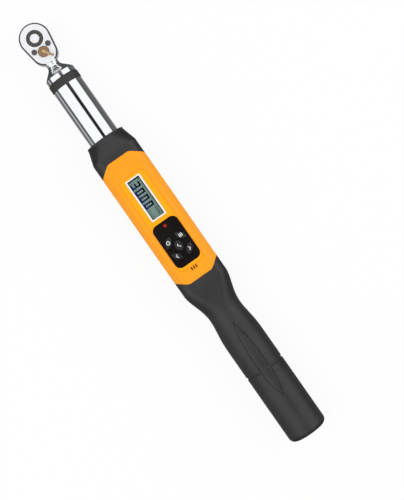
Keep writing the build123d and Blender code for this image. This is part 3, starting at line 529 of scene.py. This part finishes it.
def printed_mark(name, strokes, width, top, body, mat):
    """Ink strokes laid flat on a surface: flattened, capped lines through the given points."""
    bpy.ops.object.select_all(action="DESELECT")
    curve = bpy.data.curves.new(name, "CURVE")
    curve.dimensions = "3D"
    curve.bevel_depth = width / 2
    curve.bevel_resolution = 2
    curve.use_fill_caps = True
    for points in strokes:
        spline = curve.splines.new("POLY")
        spline.points.add(len(points) - 1)
        for point, (x, y) in zip(spline.points, points):
            point.co = (x, y, 0, 1)
    piece = bpy.data.objects.new(name, curve)
    scene.collection.objects.link(piece)
    piece.select_set(True)
    bpy.context.view_layer.objects.active = piece
    bpy.ops.object.convert(target="MESH")
    piece = bpy.context.object
    bpy.ops.object.mode_set(mode="EDIT")
    bpy.ops.mesh.select_all(action="SELECT")
    bpy.ops.transform.resize(value=(1, 1, 0.35), center_override=(0, 0, 0))
    bpy.ops.transform.translate(value=(0, 0, top))
    bpy.ops.mesh.normals_make_consistent(inside=False)
    bpy.ops.object.mode_set(mode="OBJECT")
    piece.data.materials.append(mat)
    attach(piece, body)
    return piece


# Unit mark: small plain letters for newton metres, printed beside the figures on the glass.
# They are the same dark segments as the figures.
mm = 0.001
left = 162.6 * mm
low = 1.1 * mm
tall = 2.3 * mm
letters = [
    [(left, low), (left, low + tall), (left + 1.7 * mm, low), (left + 1.7 * mm, low + tall)],
    [
        (left + 2.9 * mm, low), (left + 2.9 * mm, low + 1.7 * mm),
        (left + 5.5 * mm, low + 1.7 * mm), (left + 5.5 * mm, low),
    ],
    [(left + 4.2 * mm, low), (left + 4.2 * mm, low + 1.7 * mm)],
]
printed_mark("unit_mark", letters, 0.42 * mm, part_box("lcd_digits")[1][2] - 0.05 * mm, "handle_body", ink)

# Keypad: black gloss-hard panel let into the cover, with a red status light at its display end.
# Four leaf keys and a round centre key in soft rubber come up through it, each on its own switch.
moulded_material("keypad_skin", (0.0055, 0.0034, 0.0034), (0.0085, 0.0056, 0.0056), 0.34, 0.1, 5200, 0.15,
                 ["keypad_panel"])
moulded_material("key_rubber", (0.012, 0.012, 0.013), (0.022, 0.022, 0.023), 0.36, 0.4, 5200, 0.25,
                 ["key_menu", "key_up", "key_power", "key_down", "key_enter"])
mat = moulded_material("red_lens", (0.26, 0.008, 0.005), (0.34, 0.014, 0.008), 0.12, 0.6, 1500, 0.05,
                       ["status_led"])
tree = mat.node_tree
link = tree.links.new
# Painted highlight: the lens is painted a lighter orange-red at its centre, though the lamp is off.
highlight_outline = tree.nodes.new("ShaderNodeGroup")
highlight_outline.node_tree = rounded
highlight_outline.inputs["Centre"].default_value = (0.1791, -0.0003, 0)
painted_highlight = tree.nodes.new("ShaderNodeMapRange")
painted_highlight.inputs["From Min"].default_value = 0.0006
painted_highlight.inputs["From Max"].default_value = 0.0001
highlight_tint = tree.nodes.new("ShaderNodeMix")
highlight_tint.data_type = "RGBA"
highlight_tint.inputs[7].default_value = (0.80, 0.10, 0.02, 1)
link(tree.nodes["Texture Coordinate"].outputs["Object"], highlight_outline.inputs["Vector"])
link(highlight_outline.outputs[0], painted_highlight.inputs["Value"])
link(painted_highlight.outputs[0], highlight_tint.inputs[0])
link(tree.nodes["tint"].outputs[0], highlight_tint.inputs[6])
link(highlight_tint.outputs[2], tree.nodes["Principled BSDF"].inputs["Base Color"])

# Key legends: white ink pad-printed on the keys, as plain signs for list, up, down, power and accept.
# Each rides its own key.
legend = moulded_material("legend_ink", (0.88, 0.88, 0.87), (0.93, 0.93, 0.92), 0.5, 0.2, 4200, 0.1, [])
sign_scale = 1.3
signs = {
    "key_menu": (191.5, 5.7, [[(-1.1, dy), (1.1, dy)] for dy in (-0.85, 0.0, 0.85)]),
    "key_up": (203.8, 5.7, [[(-1.1, -0.5), (0, 0.6), (1.1, -0.5)]]),
    "key_down": (203.8, -5.8, [[(-1.1, 0.5), (0, -0.6), (1.1, 0.5)]]),
    "key_power": (191.5, -5.8, [
        [(1.05 * math.sin(math.radians(a)), 1.05 * math.cos(math.radians(a))) for a in range(40, 321, 20)],
        [(0, 0.25), (0, 1.35)]]),
    "key_enter": (197.5, 0, [[(-1.1, 0.0), (-0.3, -0.8), (1.2, 0.9)]]),
}
for key, (x, y, strokes) in signs.items():
    placed = [
        [((x + sign_scale * dx) * mm, (y + sign_scale * dy) * mm) for dx, dy in stroke]
        for stroke in strokes
    ]
    printed_mark(key + "_legend", placed, 0.56 * mm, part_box(key)[1][2], key, legend)

# Main board: green-masked circuit board with its processor, sounder and five switches.
# It hangs under the upper housing and shows only when the housings are parted.
moulded_material("solder_mask", (0.010, 0.11, 0.045), (0.014, 0.14, 0.06), 0.3, 0.5, 2600, 0.2,
                 ["main_board"])
moulded_material("chip_body", (0.018, 0.018, 0.018), (0.028, 0.028, 0.028), 0.5, 0.4, 4200, 0.3, [
    "processor", "buzzer", "switch_1", "switch_2", "switch_3", "switch_4", "switch_5"])

# Battery bay: turned alloy sleeve with the cap thread, and a black cartridge of three wrapped cells.
# A plated spring contact closes the circuit at the front.
metal_material("turned_alloy", (0.70, 0.71, 0.73), 0.24, 0.34, (2600, 200, 200), 0.15, ["battery_sleeve"])
metal_material("plated_contact", (0.80, 0.62, 0.30), 0.20, 0.30, (900, 900, 900), 0.1, ["front_contact"])
moulded_material("cartridge_body", (0.03, 0.03, 0.031), (0.045, 0.045, 0.045), 0.45, 0.4, 3600, 0.3,
                 ["battery_cartridge"])
moulded_material("cell_sleeve", (0.04, 0.16, 0.06), (0.06, 0.21, 0.08), 0.3, 0.5, 2600, 0.06,
                 ["cell_1", "cell_2", "cell_3"])
